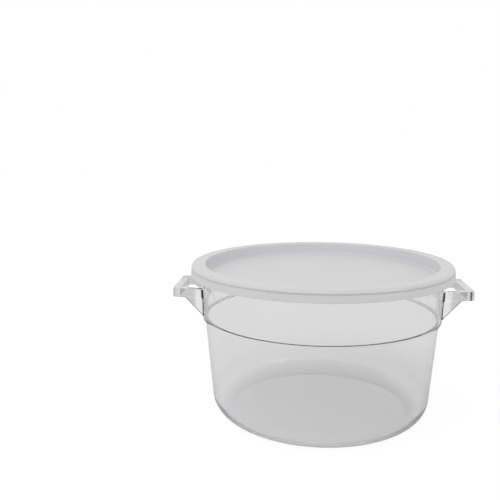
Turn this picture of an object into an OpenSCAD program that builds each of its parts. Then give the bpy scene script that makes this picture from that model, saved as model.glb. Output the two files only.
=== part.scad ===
// Round food tub with two side handles and a press-on lid, in millimetres.
// The origin is the middle of the flat base, +Z is up and the handles lie along X.

/* [Tub] */
// Height from the flat base to the top of the rim
tub_height = 198; // [140:1:330]
// Thickness of the side wall
wall = 3; // [2:0.1:4]
// Thickness of the floor
floor_thickness = 3.2; // [2:0.1:6]
// Radius of the large rounded corner between floor and wall
corner_radius = 28; // [12:1:45]
// Angle by which the wall under the shoulder leans outward
lower_draft = 5; // [1:0.1:8]
// Angle by which the wall above the shoulder leans outward
upper_draft = 1.3; // [0.5:0.1:2.5]
// Distance from the top of the rim down to the shoulder
shoulder_drop = 67.5; // [58:0.5:80]
// How far the upper wall stands out past the lower wall
shoulder_step = 3.2; // [1.5:0.1:6]

/* [Rim] */
// Outside radius of the rim, which the lid clips over
rim_radius = 166; // [130:0.5:200]
// How far the rim stands out from the wall
rim_width = 9.5; // [7:0.5:14]
// Thickness of the flat top of the rim
rim_thickness = 3.4; // [2.5:0.1:5]
// Depth of the turned-down lip, from the top of the rim
lip_drop = 9; // [6:0.5:12]
// Thickness of the turned-down lip
lip_thickness = 2.6; // [2:0.1:4]

/* [Handles] */
// Distance from the edge of the rim out to the outer face of the bar
bar_reach = 23; // [18:0.5:32]
// Overall length of the bar
bar_length = 78; // [64:1:100]
// Distance between the outer faces of the arms where they leave the wall
arm_spread = 98; // [84:1:120]
// Width of the bar and arms, seen from above
rail_width = 9.5; // [7:0.5:12]
// Height of the bar and arms
rail_height = 11.5; // [8:0.5:16]
// Distance from the top of the rim down to the top of the bar
handle_drop = 27.5; // [20:0.5:34]
// Thickness of the web under each arm
web_thickness = 3.6; // [2.5:0.1:6]
// Distance from the outer face of the bar back to the outer end of the web
web_inset = 16; // [11:0.5:20]
// Height of the foot of the web above the shoulder
web_foot = 5; // [2:0.5:10]

/* [Lid] */
// Thickness of the skirt and of the wall around the recess
lid_wall = 1.9; // [1.4:0.1:3]
// Thickness of the flat panel
panel_thickness = 2; // [1.4:0.1:3]
// Thickness of the lid over the rim
crown_thickness = 2; // [1.4:0.1:3]
// Depth of the skirt, from the top of the lid
skirt_drop = 14.5; // [12:0.5:17]
// How much wider the skirt is at its lower edge than at its top
skirt_flare = 0.6; // [0.2:0.1:1.5]
// Radius of the rounded outer corner of the lid
crown_corner = 4; // [2.5:0.5:5]
// Depth of the recess, which a second tub stands in
recess_depth = 15; // [6:0.5:17]
// Angle by which the wall around the recess leans
recess_draft = 5; // [1:0.5:8]
// Gap between the edge of the rim and the top of the skirt
rim_clearance = 0.5; // [0.3:0.1:1.5]
// Gap between the tub wall and the wall around the recess
plug_clearance = 1.1; // [0.6:0.1:2]
// How far the catch bead stands in from the skirt
bead = 0.6; // [0.2:0.1:0.6]

/* [Hidden] */

round_steps = 160;
corner_steps = 14;
edge_steps = 4;
post_steps = 48;
join = 1;
rim_edge = 2.4;
wall_edge = 1;
cove = 2.5;
shoulder_edge = 0.8;
crown_edge = 1.6;
crown_inner_corner = 2;
recess_fillet = 3;

shoulder_z = tub_height - shoulder_drop;
top_radius = rim_radius - rim_width;
upper_radius = top_radius - shoulder_drop * tan(upper_draft);
lower_radius = upper_radius - shoulder_step;
bar_outer = rim_radius + bar_reach;
bar_top = tub_height - handle_drop;
bar_bottom = bar_top - rail_height;
web_foot_z = shoulder_z + web_foot;

lid_top = tub_height + crown_thickness;
panel_top = lid_top - recess_depth;
skirt_bottom = lid_top - skirt_drop;
skirt_inner = rim_radius + rim_clearance;
skirt_low_inner = skirt_inner + skirt_flare;
plug_radius = top_radius - wall - plug_clearance;
recess_top_radius = plug_radius - lid_wall;

// Points along a circular arc from one angle to another
function arc(centre, radius, from, to, steps) =
    [for (i = [0:steps])
        let (angle = from + (to - from) * i / steps)
            centre + radius * [cos(angle), sin(angle)]];

// Angle on a circle where the straight line from a point above touches it
function touch_angle(centre, radius, point) =
    let (away = point - centre)
        atan2(away[1], away[0]) - acos(radius / norm(away));

// The corner circle whose tangent wall leans by lower_draft and ends at the shoulder
corner_centre_r = lower_radius - (corner_radius
    + (shoulder_z - corner_radius) * sin(lower_draft)) / cos(lower_draft);

// One side of the lower wall and its rounded corner, from the floor up
function corner_side(radius, floor_z, top_point) =
    let (centre = [corner_centre_r, floor_z + radius])
        arc(centre, radius, -90, touch_angle(centre, radius, top_point), corner_steps);

function tub_outside() = concat(
    [[0, 0]],
    corner_side(corner_radius, 0, [lower_radius, shoulder_z]),
    [[lower_radius, shoulder_z]],
    arc([upper_radius - shoulder_edge, shoulder_z + shoulder_edge], shoulder_edge, -90, 0, edge_steps),
    arc([top_radius + cove, tub_height - rim_thickness - cove], cove, 180, 90, edge_steps));

function tub_rim() =
    let (lip_middle = rim_radius - lip_thickness / 2, lip_end = lip_thickness / 2)
        concat(
            [[rim_radius - lip_thickness, tub_height - rim_thickness]],
            arc([lip_middle, tub_height - lip_drop + lip_end], lip_end, 180, 360, 2 * edge_steps),
            arc([rim_radius - rim_edge, tub_height - rim_edge], rim_edge, 0, 90, edge_steps),
            arc([top_radius - wall + wall_edge, tub_height - wall_edge], wall_edge, 90, 180, edge_steps));

function tub_inside() =
    let (ledge = [lower_radius - wall, shoulder_z + wall],
        side = corner_side(corner_radius - wall, floor_thickness, ledge))
        concat(
            [[upper_radius - wall, ledge[1]], ledge],
            [for (i = [len(side) - 1:-1:0]) side[i]],
            [[0, floor_thickness]]);

// Straight stretch of rail between two points, seen from above, with round ends
module strut(from, to) {
    run = to - from;
    translate(from) rotate(atan2(run[1], run[0])) translate([0, -rail_width / 2])
        square([norm(run), rail_width]);
    translate(from) circle(d = rail_width, $fn = post_steps);
    translate(to) circle(d = rail_width, $fn = post_steps);
}

// The bar and arms of one handle, with a web under each arm, before they meet the wall
module handle_blank() {
    arm_y = (arm_spread - rail_width) / 2;
    bar_y = (bar_length - rail_width) / 2;
    root = [sqrt(pow(upper_radius, 2) - pow(arm_y, 2)) - wall, arm_y];
    bend = [bar_outer - rail_width / 2, bar_y];
    run = bend - root;
    web_end = norm(run) + rail_width / 2 - web_inset;
    translate([0, 0, bar_bottom]) linear_extrude(rail_height) {
        strut(root, bend);
        strut([root[0], -root[1]], [bend[0], -bend[1]]);
        strut(bend, [bend[0], -bend[1]]);
    }
    for (side = [1, -1])
        translate([root[0], side * root[1], 0])
            rotate(side * atan2(run[1], run[0]))
                rotate([90, 0, 0])
                    linear_extrude(web_thickness, center = true)
                        polygon([
                            [0, web_foot_z],
                            [wall, web_foot_z],
                            [web_end, bar_bottom],
                            [web_end, bar_bottom + join],
                            [0, bar_bottom + join]]);
}

// Fills the tub out to the middle of its upper wall, so that a handle ends inside the wall
module wall_core() {
    translate([0, 0, shoulder_z])
        cylinder(
            h = shoulder_drop,
            r1 = upper_radius - wall / 2,
            r2 = top_radius - wall / 2,
            $fn = round_steps);
}

module tub() {
    color("lightgrey") {
        rotate_extrude($fn = round_steps)
            polygon(concat(tub_outside(), tub_rim(), tub_inside()));
        for (turn = [0, 180])
            rotate(turn) difference() {
                handle_blank();
                wall_core();
            }
    }
}

function lid_upper_face() =
    let (fillet_r = recess_top_radius - (recess_depth - recess_fillet) * tan(recess_draft) - recess_fillet)
        concat(
            [[0, panel_top]],
            arc([fillet_r, panel_top + recess_fillet], recess_fillet, -90, -recess_draft, edge_steps),
            arc([recess_top_radius + crown_edge, lid_top - crown_edge], crown_edge,
                180 - recess_draft, 90, edge_steps),
            arc([skirt_inner + lid_wall - crown_corner, lid_top - crown_corner],
                crown_corner, 90, 0, 2 * edge_steps),
            [[skirt_low_inner + lid_wall, skirt_bottom]]);

function lid_lower_face() =
    let (
        plug_bottom = panel_top - panel_thickness,
        plug_low_radius = plug_radius - (tub_height - plug_bottom) * tan(recess_draft),
        plug_corner = recess_fillet + panel_thickness)
        concat(
            [[skirt_low_inner - bead, skirt_bottom],
                [skirt_low_inner - bead, skirt_bottom + 2 * bead],
                [skirt_low_inner, skirt_bottom + 4 * bead]],
            arc([skirt_inner - crown_inner_corner, tub_height - crown_inner_corner],
                crown_inner_corner, 0, 90, edge_steps),
            [[plug_radius, tub_height]],
            arc([plug_low_radius - plug_corner, plug_bottom + plug_corner],
                plug_corner, -recess_draft, -90, edge_steps),
            [[0, plug_bottom]]);

module lid() {
    color("whitesmoke")
        rotate_extrude($fn = round_steps)
            polygon(concat(lid_upper_face(), lid_lower_face()));
}

tub();
lid();
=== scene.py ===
# Clear round dough tub with loop handles and a white press-on lid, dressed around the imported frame
import math
import bpy
import numpy as np
from mathutils import Matrix, Vector


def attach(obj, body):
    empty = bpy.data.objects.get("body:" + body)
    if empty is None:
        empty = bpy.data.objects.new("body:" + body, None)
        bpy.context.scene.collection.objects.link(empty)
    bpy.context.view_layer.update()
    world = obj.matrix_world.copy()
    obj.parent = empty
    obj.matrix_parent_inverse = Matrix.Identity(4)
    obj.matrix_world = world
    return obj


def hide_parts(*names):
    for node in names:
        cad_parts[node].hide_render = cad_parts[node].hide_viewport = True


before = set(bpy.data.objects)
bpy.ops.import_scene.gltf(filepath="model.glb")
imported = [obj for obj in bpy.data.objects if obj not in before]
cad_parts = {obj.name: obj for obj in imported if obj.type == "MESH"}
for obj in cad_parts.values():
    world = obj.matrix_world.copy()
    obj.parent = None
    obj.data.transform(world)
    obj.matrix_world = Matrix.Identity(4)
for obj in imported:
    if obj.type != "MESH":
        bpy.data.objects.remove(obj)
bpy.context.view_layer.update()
print("frame loaded")


def newMaterial(name):
    material = bpy.data.materials.new(name)
    material.use_nodes = True
    tree = material.node_tree
    tree.nodes.clear()
    return material, tree.nodes, tree.links


def dress(piece, material):
    piece.data.materials.clear()
    piece.data.materials.append(material)


# Where the camera stood: distances in metres, angles in radians
camera = {
    "distance": 0.8222,
    "height": 0.3519,
    "yaw": -0.1127,
    "pitch": 0.1659,
    "roll": -0.004,
    "lens": 45.72,
    "sensorWidth": 36,
    "nearest": 0.01,
    "farthest": 50,
    "handleTurn": 0.035,  # how far the right handle is turned away from the camera
}


def makeCamera():
    data = bpy.data.cameras.new("camera")
    data.lens = camera["lens"]
    data.sensor_width = camera["sensorWidth"]
    data.clip_start = camera["nearest"]
    data.clip_end = camera["farthest"]
    yaw, pitch, roll = camera["yaw"], camera["pitch"], camera["roll"]
    forward = Vector((math.sin(yaw) * math.cos(pitch), math.cos(yaw) * math.cos(pitch), -math.sin(pitch)))
    right = Vector((math.cos(yaw), -math.sin(yaw), 0))
    up = right.cross(forward)
    rolledRight = math.cos(roll) * right + math.sin(roll) * up
    rolledUp = math.cos(roll) * up - math.sin(roll) * right
    facing = Matrix((rolledRight, rolledUp, -forward)).transposed().to_4x4()
    facing.translation = (0, -camera["distance"], camera["height"])
    holder = bpy.data.objects.new("camera", data)
    holder.matrix_world = Matrix.Rotation(-camera["handleTurn"], 4, "Z") @ facing
    bpy.context.collection.objects.link(holder)
    bpy.context.scene.camera = holder


makeCamera()
print("camera placed")

# Level of the light: the world lights all round, the lamps add direction
lights = {
    "worldLevel": 0.72,
    "seenLevel": 1.0,
    "keyPower": 5.6,
    "keyPlace": (-0.9, -0.7, 1.5),
    "keySize": 0.9,
    "fillPower": 1.6,
    "fillPlace": (1.2, -0.9, 0.9),
    "fillSize": 0.8,
    "aim": (0, 0, 0.12),
}


def raysThatSee(nodes, links):
    # 1 for rays from the camera and for those that a glossy or clear surface sends on
    path = nodes.new("ShaderNodeLightPath")
    first = nodes.new("ShaderNodeMath")
    first.operation = "MAXIMUM"
    links.new(path.outputs["Is Camera Ray"], first.inputs[0])
    links.new(path.outputs["Is Glossy Ray"], first.inputs[1])
    second = nodes.new("ShaderNodeMath")
    second.operation = "MAXIMUM"
    links.new(first.outputs[0], second.inputs[0])
    links.new(path.outputs["Is Transmission Ray"], second.inputs[1])
    return second.outputs[0]


def makeWorld():
    world = bpy.data.worlds.new("studio")
    world.use_nodes = True
    nodes, links = world.node_tree.nodes, world.node_tree.links
    nodes.clear()
    lit = nodes.new("ShaderNodeBackground")
    lit.inputs["Color"].default_value = (1, 1, 1, 1)
    lit.inputs["Strength"].default_value = lights["worldLevel"]
    seen = nodes.new("ShaderNodeBackground")
    seen.inputs["Color"].default_value = (1, 1, 1, 1)
    seen.inputs["Strength"].default_value = lights["seenLevel"]
    mix = nodes.new("ShaderNodeMixShader")
    output = nodes.new("ShaderNodeOutputWorld")
    links.new(raysThatSee(nodes, links), mix.inputs["Fac"])
    links.new(lit.outputs[0], mix.inputs[1])
    links.new(seen.outputs[0], mix.inputs[2])
    links.new(mix.outputs[0], output.inputs["Surface"])
    bpy.context.scene.world = world


def softLamp(name, place, size, power):
    data = bpy.data.lights.new(name, "AREA")
    data.shape = "SQUARE"
    data.size = size
    data.energy = power
    lamp = bpy.data.objects.new(name, data)
    lamp.location = place
    aim = Vector(lights["aim"]) - Vector(place)
    lamp.rotation_euler = aim.to_track_quat("-Z", "Y").to_euler()
    bpy.context.collection.objects.link(lamp)


makeWorld()
softLamp("key lamp", lights["keyPlace"], lights["keySize"], lights["keyPower"])
softLamp("fill lamp", lights["fillPlace"], lights["fillSize"], lights["fillPower"])
print("lights made")

floorLook = {
    "halfWidth": 6.0,
    "colour": (0.9, 0.9, 0.9, 1),
    "whiteShare": 0.86,  # how much of the floor is plain white to the camera, the rest keeps the shadow
    "whiteLevel": 1.07,
    "shareThroughTub": 0.3,  # the same for what is seen through the clear wall, where the shadow is deeper
}


def makeFloor():
    side = floorLook["halfWidth"]
    corners = [(-side, -side, 0), (side, -side, 0), (side, side, 0), (-side, side, 0)]
    mesh = bpy.data.meshes.new("floor")
    mesh.from_pydata(corners, [], [(0, 1, 2, 3)])
    floor = bpy.data.objects.new("floor", mesh)
    bpy.context.collection.objects.link(floor)
    material, nodes, links = newMaterial("pale floor")
    lit = nodes.new("ShaderNodeBsdfDiffuse")
    lit.inputs["Color"].default_value = floorLook["colour"]
    white = nodes.new("ShaderNodeEmission")
    white.inputs["Strength"].default_value = floorLook["whiteLevel"]
    path = nodes.new("ShaderNodeLightPath")
    direct = nodes.new("ShaderNodeMath")
    direct.operation = "MULTIPLY"
    direct.inputs[1].default_value = floorLook["whiteShare"]
    share = nodes.new("ShaderNodeMath")
    share.operation = "MULTIPLY_ADD"
    share.inputs[1].default_value = floorLook["shareThroughTub"]
    mix = nodes.new("ShaderNodeMixShader")
    output = nodes.new("ShaderNodeOutputMaterial")
    links.new(path.outputs["Is Camera Ray"], direct.inputs[0])
    links.new(path.outputs["Is Transmission Ray"], share.inputs[0])
    links.new(direct.outputs[0], share.inputs[2])
    links.new(share.outputs[0], mix.inputs["Fac"])
    links.new(lit.outputs[0], mix.inputs[1])
    links.new(white.outputs[0], mix.inputs[2])
    links.new(mix.outputs[0], output.inputs["Surface"])
    dress(floor, material)


makeFloor()
print("floor laid")

# The slow thickness swirl of a moulded wall, with a finer one over it
mouldedLook = {
    "swirlDetail": 2,
    "fineDetail": 3,
    "bumpHeight": 0.001,
}


def mouldedUnevenness():
    # Node group: the swirl as a mask, and both noises added up as a bump
    group = bpy.data.node_groups.new("moulded unevenness", "ShaderNodeTree")
    group.interface.new_socket("Scale", in_out="INPUT", socket_type="NodeSocketFloat")
    group.interface.new_socket("Fine Scale", in_out="INPUT", socket_type="NodeSocketFloat")
    group.interface.new_socket("Strength", in_out="INPUT", socket_type="NodeSocketFloat")
    group.interface.new_socket("Mask", in_out="OUTPUT", socket_type="NodeSocketFloat")
    group.interface.new_socket("Normal", in_out="OUTPUT", socket_type="NodeSocketVector")
    nodes, links = group.nodes, group.links
    given = nodes.new("NodeGroupInput")
    result = nodes.new("NodeGroupOutput")
    place = nodes.new("ShaderNodeTexCoord")
    swirl = nodes.new("ShaderNodeTexNoise")
    swirl.inputs["Detail"].default_value = mouldedLook["swirlDetail"]
    fine = nodes.new("ShaderNodeTexNoise")
    fine.inputs["Detail"].default_value = mouldedLook["fineDetail"]
    both = nodes.new("ShaderNodeMath")
    both.operation = "ADD"
    bump = nodes.new("ShaderNodeBump")
    bump.inputs["Distance"].default_value = mouldedLook["bumpHeight"]
    links.new(place.outputs["Object"], swirl.inputs["Vector"])
    links.new(place.outputs["Object"], fine.inputs["Vector"])
    links.new(given.outputs["Scale"], swirl.inputs["Scale"])
    links.new(given.outputs["Fine Scale"], fine.inputs["Scale"])
    links.new(swirl.outputs["Fac"], both.inputs[0])
    links.new(fine.outputs["Fac"], both.inputs[1])
    links.new(both.outputs[0], bump.inputs["Height"])
    links.new(given.outputs["Strength"], bump.inputs["Strength"])
    links.new(swirl.outputs["Fac"], result.inputs["Mask"])
    links.new(bump.outputs["Normal"], result.inputs["Normal"])
    return group


unevenness = mouldedUnevenness()


def placeUnevenness(nodes, scale, fineScale, strength):
    node = nodes.new("ShaderNodeGroup")
    node.node_tree = unevenness
    node.inputs["Scale"].default_value = scale
    node.inputs["Fine Scale"].default_value = fineScale
    node.inputs["Strength"].default_value = strength
    return node


def spread(nodes, links, source, low, high):
    ramp = nodes.new("ShaderNodeMapRange")
    ramp.inputs["To Min"].default_value = low
    ramp.inputs["To Max"].default_value = high
    links.new(source, ramp.inputs["Value"])
    return ramp.outputs["Result"]


lidLook = {
    "colour": (0.67, 0.67, 0.682, 1),
    "palerColour": (0.715, 0.715, 0.726, 1),
    "smoothest": 0.36,
    "roughest": 0.48,
    "cloudScale": 14.0,
    "grainScale": 900.0,
    "grainStrength": 0.05,
}


def lidPlastic():
    material, nodes, links = newMaterial("white polypropylene")
    swirl = placeUnevenness(nodes, lidLook["cloudScale"], lidLook["grainScale"], lidLook["grainStrength"])
    tone = nodes.new("ShaderNodeMix")
    tone.data_type = "RGBA"
    tone.inputs["A"].default_value = lidLook["colour"]
    tone.inputs["B"].default_value = lidLook["palerColour"]
    links.new(swirl.outputs["Mask"], tone.inputs["Factor"])
    shader = nodes.new("ShaderNodeBsdfPrincipled")
    links.new(tone.outputs["Result"], shader.inputs["Base Color"])
    rough = spread(nodes, links, swirl.outputs["Mask"], lidLook["smoothest"], lidLook["roughest"])
    links.new(rough, shader.inputs["Roughness"])
    links.new(swirl.outputs["Normal"], shader.inputs["Normal"])
    output = nodes.new("ShaderNodeOutputMaterial")
    links.new(shader.outputs[0], output.inputs["Surface"])
    return material


# The lid's sizes in metres: the solid's, plus a groove under the crown and a small edge on the skirt
lidSizes = {
    "top": 0.2,
    "panel": 0.185,
    "underPanel": 0.183,
    "underCrown": 0.198,
    "recessTopRadius": 0.1505,
    "recessLean": 5,  # degrees
    "recessFillet": 0.003,
    "crownEdge": 0.0016,
    "crownCorner": 0.004,
    "underCrownCorner": 0.002,
    "plugRadius": 0.1524,
    "skirtTopRadius": 0.1684,
    "skirtLowRadius": 0.16895,
    "skirtBottom": 0.1855,
    "skirtWall": 0.0019,
    "skirtEdgeHeight": 0.0006,
    "skirtEdgeDepth": 0.0005,
    "beadDepth": 0.0006,
    "beadHeight": 0.0012,
    "beadTop": 0.0024,
    "grooveHeight": 0.1949,
    "grooveDepth": 0.0011,
    "grooveHalfWidth": 0.001,
    "grooveFloorShare": 0.5,  # how wide the groove's floor is, as a share of its mouth
    "grooveLip": 0.0003,
    "arcPoints": 6,
    "cornerPoints": 9,
    "turnSteps": 360,
    "sharpAngle": 40,  # degrees
}


def arc(centre, radius, start, end, count=lidSizes["arcPoints"]):
    # Circular arc: the centre plus the radius at evenly spaced angles, in degrees
    angle = np.radians(np.linspace(start, end, count))
    return np.column_stack((centre[0] + radius * np.cos(angle), centre[1] + radius * np.sin(angle)))


def lidProfile():
    # Radius and height: from the panel's middle up the recess, over the crown, down the skirt and back
    size = lidSizes
    lean = math.tan(math.radians(size["recessLean"]))
    fillet, edge, corner = size["recessFillet"], size["crownEdge"], size["crownCorner"]
    filletRadius = size["recessTopRadius"] - (size["top"] - size["panel"] - fillet) * lean - fillet
    crownRadius, lowRadius, bottom = size["skirtTopRadius"], size["skirtLowRadius"], size["skirtBottom"]
    groove, half = size["grooveHeight"], size["grooveHalfWidth"]
    floorRadius = crownRadius - size["grooveDepth"]
    floorHalf = half * size["grooveFloorShare"]
    lowInner = lowRadius - size["skirtWall"]
    beadRadius = lowInner - size["beadDepth"]
    innerCorner = size["underCrownCorner"]
    innerRadius = crownRadius - size["skirtWall"] - innerCorner
    plugBottom = size["plugRadius"] - (size["underCrown"] - size["underPanel"]) * lean
    plugCorner = fillet + size["panel"] - size["underPanel"]
    return np.vstack((
        [(0, size["panel"])],
        arc((filletRadius, size["panel"] + fillet), fillet, -90, -size["recessLean"]),
        arc((size["recessTopRadius"] + edge, size["top"] - edge), edge, 180 - size["recessLean"], 90),
        arc((crownRadius - corner, size["top"] - corner), corner, 90, 0, size["cornerPoints"]),
        [(crownRadius, groove + half), (floorRadius, groove + floorHalf)],
        [(floorRadius, groove - floorHalf), (crownRadius + size["grooveLip"], groove - half)],
        [(lowRadius, bottom + size["skirtEdgeHeight"]), (lowRadius - size["skirtEdgeDepth"], bottom)],
        [(beadRadius, bottom), (beadRadius, bottom + size["beadHeight"])],
        [(lowInner, bottom + size["beadTop"])],
        arc((innerRadius, size["underCrown"] - innerCorner), innerCorner, 0, 90),
        [(size["plugRadius"], size["underCrown"])],
        arc((plugBottom - plugCorner, size["underPanel"] + plugCorner), plugCorner, -size["recessLean"], -90),
        [(0, size["underPanel"])],
    ))


def turnedSkin(name, profile, steps):
    # The profile carried round the axis: (r cos a, r sin a, z), closed by a fan at each end
    angle = np.linspace(0, 2 * math.pi, steps, endpoint=False)
    r, z = profile[1:-1, 0], profile[1:-1, 1]
    rings = np.stack((np.outer(np.cos(angle), r), np.outer(np.sin(angle), r), np.tile(z, (steps, 1))), -1)
    poles = [(0, 0, profile[0, 1]), (0, 0, profile[-1, 1])]
    points = np.vstack((rings.reshape(-1, 3), poles))
    count = len(r)
    here = np.arange(steps)[:, None] * count + np.arange(count - 1)
    there = np.roll(here, -1, axis=0)
    quads = np.stack((here, here + 1, there + 1, there), -1).reshape(-1, 4)
    first = np.arange(steps) * count
    last = first + count - 1
    startPole = np.full(steps, steps * count)
    startFan = np.column_stack((startPole, first, np.roll(first, -1)))
    endFan = np.column_stack((startPole + 1, np.roll(last, -1), last))
    mesh = bpy.data.meshes.new(name)
    mesh.from_pydata(points.tolist(), [], quads.tolist() + startFan.tolist() + endFan.tolist())
    mesh.shade_smooth()
    mesh.set_sharp_from_angle(angle=math.radians(lidSizes["sharpAngle"]))
    piece = bpy.data.objects.new(name, mesh)
    bpy.context.collection.objects.link(piece)
    return piece


lidShell = turnedSkin("lid_shell", lidProfile(), lidSizes["turnSteps"])
dress(lidShell, lidPlastic())
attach(lidShell, "lid")
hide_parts("lid")
print("lid made")

clearLook = {
    "colour": (0.915, 0.915, 0.922, 1),
    "handleColour": (0.66, 0.66, 0.67, 1),  # the bars and webs are thicker than the wall, so greyer
    "handleStart": 0.157,  # distance from the middle, in metres, where the wall's tint starts to change
    "handleFull": 0.162,
    "bend": 1.56,
    "smoothest": 0.018,
    "roughest": 0.048,
    "shadowTint": (0.9, 0.9, 0.91, 1),
    "rippleScale": 18.0,
    "fineRippleScale": 108.0,
    "rippleStrength": 0.03,
}


def handleTint(nodes, links):
    # Wall colour near the middle, handle colour where the distance along X passes the wall
    place = nodes.new("ShaderNodeTexCoord")
    split = nodes.new("ShaderNodeSeparateXYZ")
    sideways = nodes.new("ShaderNodeMath")
    sideways.operation = "ABSOLUTE"
    reach = nodes.new("ShaderNodeMapRange")
    reach.inputs["From Min"].default_value = clearLook["handleStart"]
    reach.inputs["From Max"].default_value = clearLook["handleFull"]
    tint = nodes.new("ShaderNodeMix")
    tint.data_type = "RGBA"
    tint.inputs["A"].default_value = clearLook["colour"]
    tint.inputs["B"].default_value = clearLook["handleColour"]
    links.new(place.outputs["Object"], split.inputs["Vector"])
    links.new(split.outputs["X"], sideways.inputs[0])
    links.new(sideways.outputs[0], reach.inputs["Value"])
    links.new(reach.outputs["Result"], tint.inputs["Factor"])
    return tint.outputs["Result"]


def clearPlastic():
    material, nodes, links = newMaterial("clear polycarbonate")
    swirl = placeUnevenness(
        nodes, clearLook["rippleScale"], clearLook["fineRippleScale"], clearLook["rippleStrength"])
    shader = nodes.new("ShaderNodeBsdfPrincipled")
    links.new(handleTint(nodes, links), shader.inputs["Base Color"])
    shader.inputs["Transmission Weight"].default_value = 1
    shader.inputs["IOR"].default_value = clearLook["bend"]
    rough = spread(nodes, links, swirl.outputs["Mask"], clearLook["smoothest"], clearLook["roughest"])
    links.new(rough, shader.inputs["Roughness"])
    links.new(swirl.outputs["Normal"], shader.inputs["Normal"])
    through = nodes.new("ShaderNodeBsdfTransparent")
    through.inputs["Color"].default_value = clearLook["shadowTint"]
    path = nodes.new("ShaderNodeLightPath")
    mix = nodes.new("ShaderNodeMixShader")
    output = nodes.new("ShaderNodeOutputMaterial")
    links.new(path.outputs["Is Shadow Ray"], mix.inputs["Fac"])
    links.new(shader.outputs[0], mix.inputs[1])
    links.new(through.outputs[0], mix.inputs[2])
    links.new(mix.outputs[0], output.inputs["Surface"])
    return material


dress(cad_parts["tub"], clearPlastic())
print("tub dressed")

bpy.context.scene.view_settings.view_transform = "Standard"
